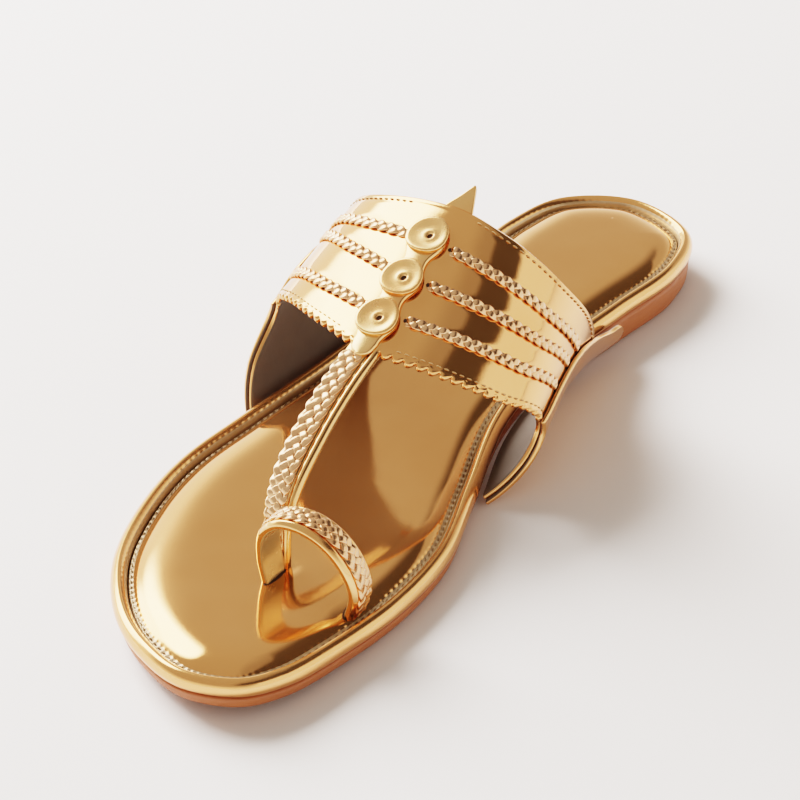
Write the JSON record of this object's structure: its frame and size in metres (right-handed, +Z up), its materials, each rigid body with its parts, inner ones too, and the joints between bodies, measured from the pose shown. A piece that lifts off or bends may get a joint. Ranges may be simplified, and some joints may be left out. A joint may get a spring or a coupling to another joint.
{
  "type": "kolhapuri sandal",
  "caption": "Flat toe-loop slide sandal with a braided instep band, rosettes down the crest, a toe strap, a padded footbed with a wrapped rim and a low heel.",
  "frame": {"origin": "centre of the bounding box on the floor under the sole", "axes": "+Y from toe to heel, +X to the inner (medial) side of the foot, +Z up"},
  "size_m": [0.0868, 0.2486, 0.0691],
  "materials": {
    "sole_tan": "matt tan unit sole",
    "gold_leather": "mirror gold foil on leather",
    "braid_gold": "pale rose gold plaited leather",
    "rosette_gold": "bright gold foil on leather"
  },
  "bodies": {
    "root": {"outsole": "sole_tan", "rim_wrap": "gold_leather", "insole_pad": "gold_leather", "upper": "gold_leather", "braid_front_lateral": "braid_gold", "braid_front_medial": "braid_gold", "braid_middle_lateral": "braid_gold", "braid_middle_medial": "braid_gold", "braid_back_lateral": "braid_gold", "braid_back_medial": "braid_gold", "toe_strap_braid": "braid_gold", "toe_loop_braid": "braid_gold", "centre_strip": "rosette_gold", "rosette_front": "rosette_gold", "rosette_middle": "rosette_gold", "rosette_back": "rosette_gold"}
  },
  "joints": []
}
